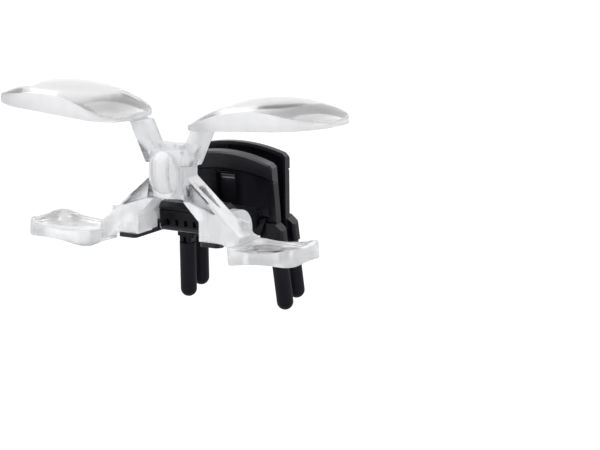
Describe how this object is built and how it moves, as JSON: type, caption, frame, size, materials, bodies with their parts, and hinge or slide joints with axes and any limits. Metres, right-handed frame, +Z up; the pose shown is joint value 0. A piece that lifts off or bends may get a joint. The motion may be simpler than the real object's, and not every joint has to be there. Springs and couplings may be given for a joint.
{
  "type": "clip-on eyeglass loupe",
  "caption": "Clip-on binocular loupe: a flip-up clear unit of large front lenses and small eye lenses on a black spring clip with rubber-sleeved legs.",
  "frame": {"origin": "middle of the gap between the front and rear leg sleeves, halfway down the sleeves, on the middle plane", "axes": "+X to the wearer's left, -Y forward away from the wearer, +Z up along the legs"},
  "size_m": [0.0998, 0.046, 0.0662],
  "materials": {
    "black_plastic": "satin moulded",
    "black_rubber": "soft, faintly glossy",
    "steel": "drawn",
    "screw_steel": "blackened",
    "washer_plastic": "plain",
    "clear_moulding": "clear with frosted walls",
    "clear_lens": "polished faces, frosted edge"
  },
  "bodies": {
    "clip": {"front_jaw": "black_plastic", "jaw_pin": "steel", "jaw_spring": "steel", "sleeve_front_left": "black_rubber", "sleeve_front_right": "black_rubber", "flip_bracket": "black_plastic", "bracket_screws": "screw_steel", "flip_axle": "steel"},
    "rear_grip": {"rear_jaw": "black_plastic", "sleeve_rear_left": "black_rubber", "sleeve_rear_right": "black_rubber"},
    "optics": {"cradle_left": "black_plastic", "cradle_right": "black_plastic", "cradle_screws": "screw_steel", "friction_washer_left": "washer_plastic", "friction_washer_right": "washer_plastic", "lower_carrier": "clear_moulding", "upper_carrier": "clear_moulding", "large_lens_left": "clear_lens", "large_lens_right": "clear_lens", "small_lens_left": "clear_lens", "small_lens_right": "clear_lens"}
  },
  "joints": [
    {"name": "jaw_hinge", "type": "hinge", "parent": "clip", "child": "rear_grip", "pos_m": [0, -0.0008, 0.0165], "axis": [1, 0, 0], "range_deg": [-4, 12], "stiffness_Nm_per_rad": 0.06, "springref_deg": -20.05, "deforming": ["jaw_spring"]},
    {"name": "flip_hinge", "type": "hinge", "parent": "clip", "child": "optics", "pos_m": [0, -0.0212, 0.0195], "axis": [1, 0, 0], "range_deg": [0, 97]}
  ]
}
